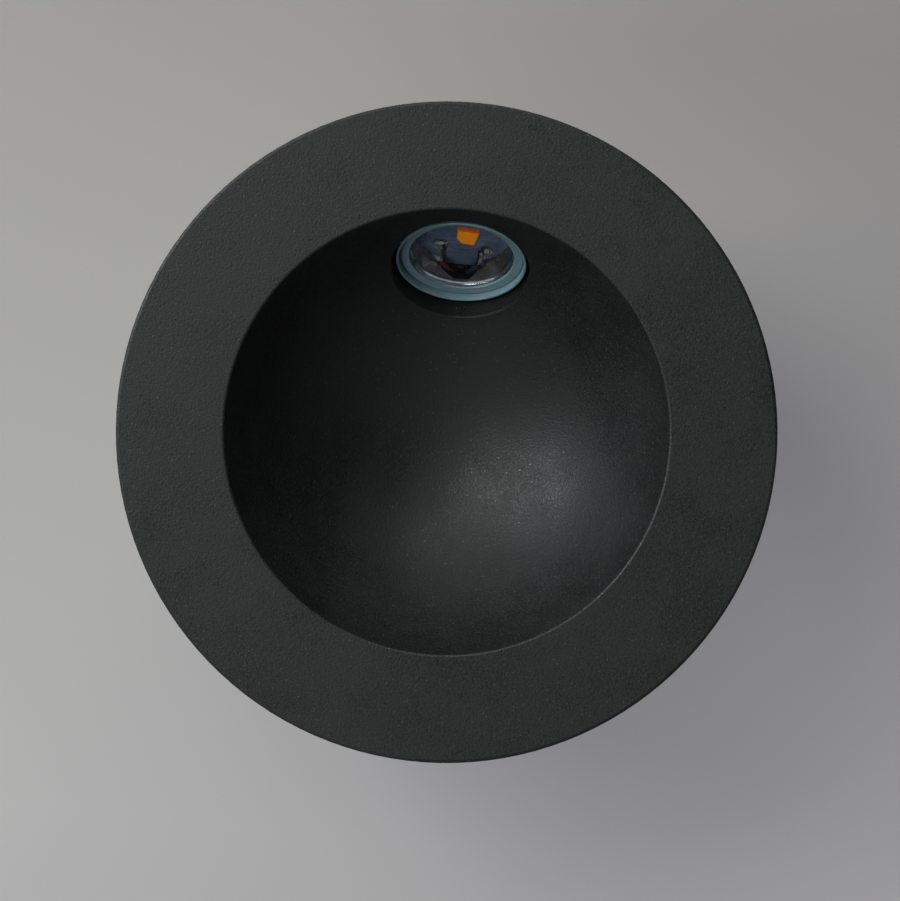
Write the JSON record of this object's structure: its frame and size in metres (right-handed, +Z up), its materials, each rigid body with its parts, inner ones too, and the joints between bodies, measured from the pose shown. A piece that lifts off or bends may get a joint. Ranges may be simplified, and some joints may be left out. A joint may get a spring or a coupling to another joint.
{
  "type": "led step light",
  "caption": "Round recessed step light: dark flange, dished light cavity with a slanted optic at its top, rear can with cable gland and folding spring clips.",
  "frame": {"origin": "centre of the flange's back plane, which is the wall's surface", "axes": "+Y into the wall along the can's axis, +Z up towards the optic, +X to the viewer's right"},
  "size_m": [0.1, 0.0636, 0.1],
  "materials": {
    "powder_coat": "fine sand-texture powder coat, anthracite",
    "cast_aluminium": "shot-blasted die casting",
    "machined_aluminium": "milled",
    "black_rubber": "matt",
    "grey_silicone": "matt",
    "zinc_steel": "zinc plated",
    "spring_steel": "bright drawn",
    "satin_ring": "satin",
    "clear_window": "polished",
    "bright_reflector": "vacuum metallised",
    "board_face": "solder mask over aluminium",
    "led_body": "moulded, under amber silicone",
    "amber_silicone": "glossy",
    "solder": "bright",
    "red_insulation": "satin",
    "black_insulation": "satin",
    "white_nylon": "moulded",
    "black_nylon": "moulded, slightly glossy",
    "green_laminate": "solder mask",
    "green_nylon": "moulded",
    "brass": "turned",
    "black_epoxy": "moulded",
    "capacitor_sleeve": "shrunk sleeve",
    "fuse_body": "moulded",
    "chip_ceramic": "ceramic with tinned ends"
  },
  "bodies": {
    "root": {"front_casting": "powder_coat", "wall_gasket": "black_rubber", "housing_seal": "black_rubber", "rear_housing": "cast_aluminium", "housing_screws": "zinc_steel", "optic_ring": "satin_ring", "window": "clear_window", "lens_gasket": "black_rubber", "reflector_cup": "bright_reflector", "led_board": "board_face", "led_base": "led_body", "led_top": "amber_silicone", "thermal_pad": "grey_silicone", "solder_joints": "solder", "red_lead": "red_insulation", "black_lead": "black_insulation", "module_cap": "machined_aluminium", "module_cap_screws": "zinc_steel", "lead_grommet": "black_rubber", "lead_plug": "white_nylon", "board_socket": "white_nylon", "driver_board": "green_laminate", "driver_standoffs": "brass", "driver_screws": "zinc_steel", "terminal_block": "green_nylon", "terminal_screws": "zinc_steel", "smoothing_capacitor": "capacitor_sleeve", "inductor": "black_epoxy", "bridge_rectifier": "black_epoxy", "driver_chip": "black_epoxy", "fuse": "fuse_body", "chip_resistors": "chip_ceramic", "gland_body": "black_nylon", "gland_washer": "black_rubber", "gland_locknut": "black_nylon", "gland_seal": "black_rubber", "gland_nut": "black_nylon", "clip_rivets": "zinc_steel", "left_clip_bracket": "zinc_steel", "left_clip_pin": "zinc_steel", "left_clip_spring": "spring_steel", "right_clip_bracket": "zinc_steel", "right_clip_pin": "zinc_steel", "right_clip_spring": "spring_steel"},
    "left_clip": {"left_clip_arm": "spring_steel", "left_clip_sleeve": "black_rubber"},
    "right_clip": {"right_clip_arm": "spring_steel", "right_clip_sleeve": "black_rubber"}
  },
  "joints": [
    {"name": "left_clip_hinge", "type": "hinge", "parent": "root", "child": "left_clip", "pos_m": [-0.0397, 0.038, 0], "axis": [0, 0, 1], "range_deg": [0, 15], "stiffness_Nm_per_rad": 0.3, "springref_deg": -28.65, "deforming": ["left_clip_spring"]},
    {"name": "right_clip_hinge", "type": "hinge", "parent": "root", "child": "right_clip", "pos_m": [0.0397, 0.038, 0], "axis": [0, 0, -1], "range_deg": [0, 15], "stiffness_Nm_per_rad": 0.3, "springref_deg": -28.65, "deforming": ["right_clip_spring"]}
  ]
}
